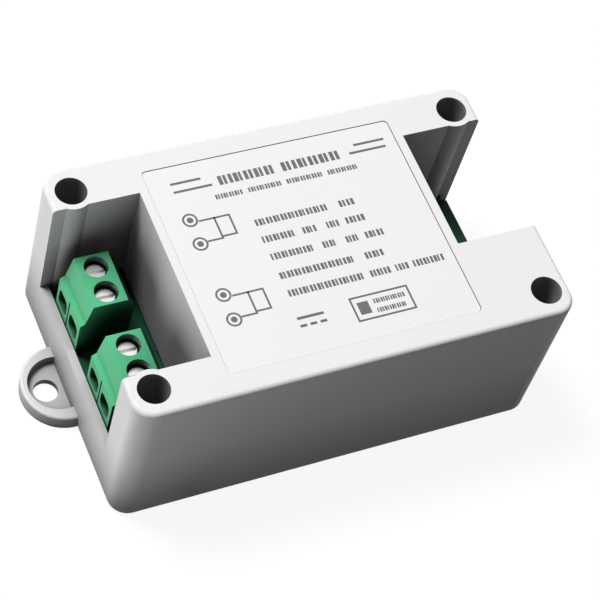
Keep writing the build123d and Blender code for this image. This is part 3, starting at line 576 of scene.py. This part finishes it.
def build_floor():
    """A plain pale floor that keeps a soft shadow, and sends light back up at the left end only."""
    builder = bmesh.new()
    bmesh.ops.create_grid(builder, x_segments=1, y_segments=1, size=FLOOR_HALF_SIZE)
    floor = bpy.data.objects.new("floor", mesh_from(builder, "floor"))
    bpy.context.scene.collection.objects.link(floor)
    floor.location.z = -FLOOR_GAP
    material, shader = new_material("floor")
    shader.inputs["Roughness"].default_value = FLOOR_ROUGHNESS
    shader.inputs["Specular IOR Level"].default_value = 0.0
    seen = seen_by_eye(material)
    place = add_node(material, "ShaderNodeNewGeometry")
    across = add_node(material, "ShaderNodeSeparateXYZ")
    link(material, place, "Position", across, 0)
    bounce = add_node(material, "ShaderNodeMapRange")
    bounce.inputs["From Min"].default_value = FLOOR_LEFT_START
    bounce.inputs["From Max"].default_value = FLOOR_LEFT_END
    bounce.inputs["To Min"].default_value = FLOOR_BOUNCE_LEFT
    bounce.inputs["To Max"].default_value = FLOOR_BOUNCE
    link(material, across, "X", bounce, "Value")
    paint = add_node(material, "ShaderNodeMapRange")
    paint.inputs["To Max"].default_value = FLOOR_PAINT
    link(material, seen, 0, paint, "Value")
    link(material, bounce, "Result", paint, "To Min")
    link(material, paint, "Result", shader, "Base Color")
    white = add_node(material, "ShaderNodeEmission", Color=(1, 1, 1, 1), Strength=FLOOR_GLOW)
    share = add_node(material, "ShaderNodeMath", operation="MULTIPLY")
    share.inputs[1].default_value = FLOOR_GLOW_SHARE
    link(material, seen, 0, share, 0)
    mix = add_node(material, "ShaderNodeMixShader")
    link(material, share, 0, mix, 0)
    link(material, shader, 0, mix, 1)
    link(material, white, 0, mix, 2)
    link(material, mix, 0, material.node_tree.nodes["Material Output"], "Surface")
    floor.data.materials.append(material)


def build_world():
    """White to the eye, and a dim even light for everything else."""
    world = bpy.data.worlds.new("studio")
    bpy.context.scene.world = world
    world.use_nodes = True
    background = world.node_tree.nodes["Background"]
    background.inputs["Color"].default_value = (1, 1, 1, 1)
    span = add_node(world, "ShaderNodeMapRange")
    span.inputs["To Min"].default_value = AMBIENT
    span.inputs["To Max"].default_value = 1.0
    link(world, seen_by_eye(world), 0, span, "Value")
    link(world, span, "Result", background, "Strength")


def build_key():
    """A square soft box behind the left end, which leaves the long front in shade."""
    lamp = bpy.data.lights.new("key", "AREA")
    lamp.shape = "SQUARE"
    lamp.size = KEY_SIZE
    lamp.energy = KEY_POWER
    holder = bpy.data.objects.new("key", lamp)
    bpy.context.scene.collection.objects.link(holder)
    aim = Vector(KEY_DIRECTION).normalized()
    holder.location = aim * KEY_DISTANCE
    holder.rotation_euler = aim.to_track_quat("Z", "Y").to_euler()


def build_camera():
    """The camera that took the photograph: turned, raised and rolled about its target."""
    forward = Vector((
        math.sin(VIEW_TURN) * math.cos(VIEW_HEIGHT),
        math.cos(VIEW_TURN) * math.cos(VIEW_HEIGHT),
        -math.sin(VIEW_HEIGHT),
    ))
    level = Vector((math.cos(VIEW_TURN), -math.sin(VIEW_TURN), 0))
    above = level.cross(forward)
    right = math.cos(VIEW_ROLL) * level + math.sin(VIEW_ROLL) * above
    up = math.cos(VIEW_ROLL) * above - math.sin(VIEW_ROLL) * level
    camera = bpy.data.objects.new("camera", bpy.data.cameras.new("camera"))
    bpy.context.scene.collection.objects.link(camera)
    camera.data.lens = LENS
    camera.data.sensor_width = SENSOR
    camera.data.clip_start = CLIP_START
    turn = Matrix((right, up, -forward)).transposed()
    camera.matrix_world = Matrix.Translation(VIEW_TARGET - forward * VIEW_DISTANCE) @ turn.to_4x4()
    bpy.context.scene.camera = camera


dress_nodes()
smooth_nodes()
build_label_print()
build_board_print()
build_turns("inductor_turns", "inductor_winding", INDUCTOR_TURNS)
build_turns("relay_turns", "relay_winding", RELAY_TURNS)
build_capacitor_marks(1)
build_capacitor_marks(2)
build_end_caps("resistor_ends", "chip_resistors")
build_end_caps("ceramic_ends", "chip_capacitors")
build_floor()
build_world()
build_key()
build_camera()
bpy.context.scene.view_settings.view_transform = "Standard"
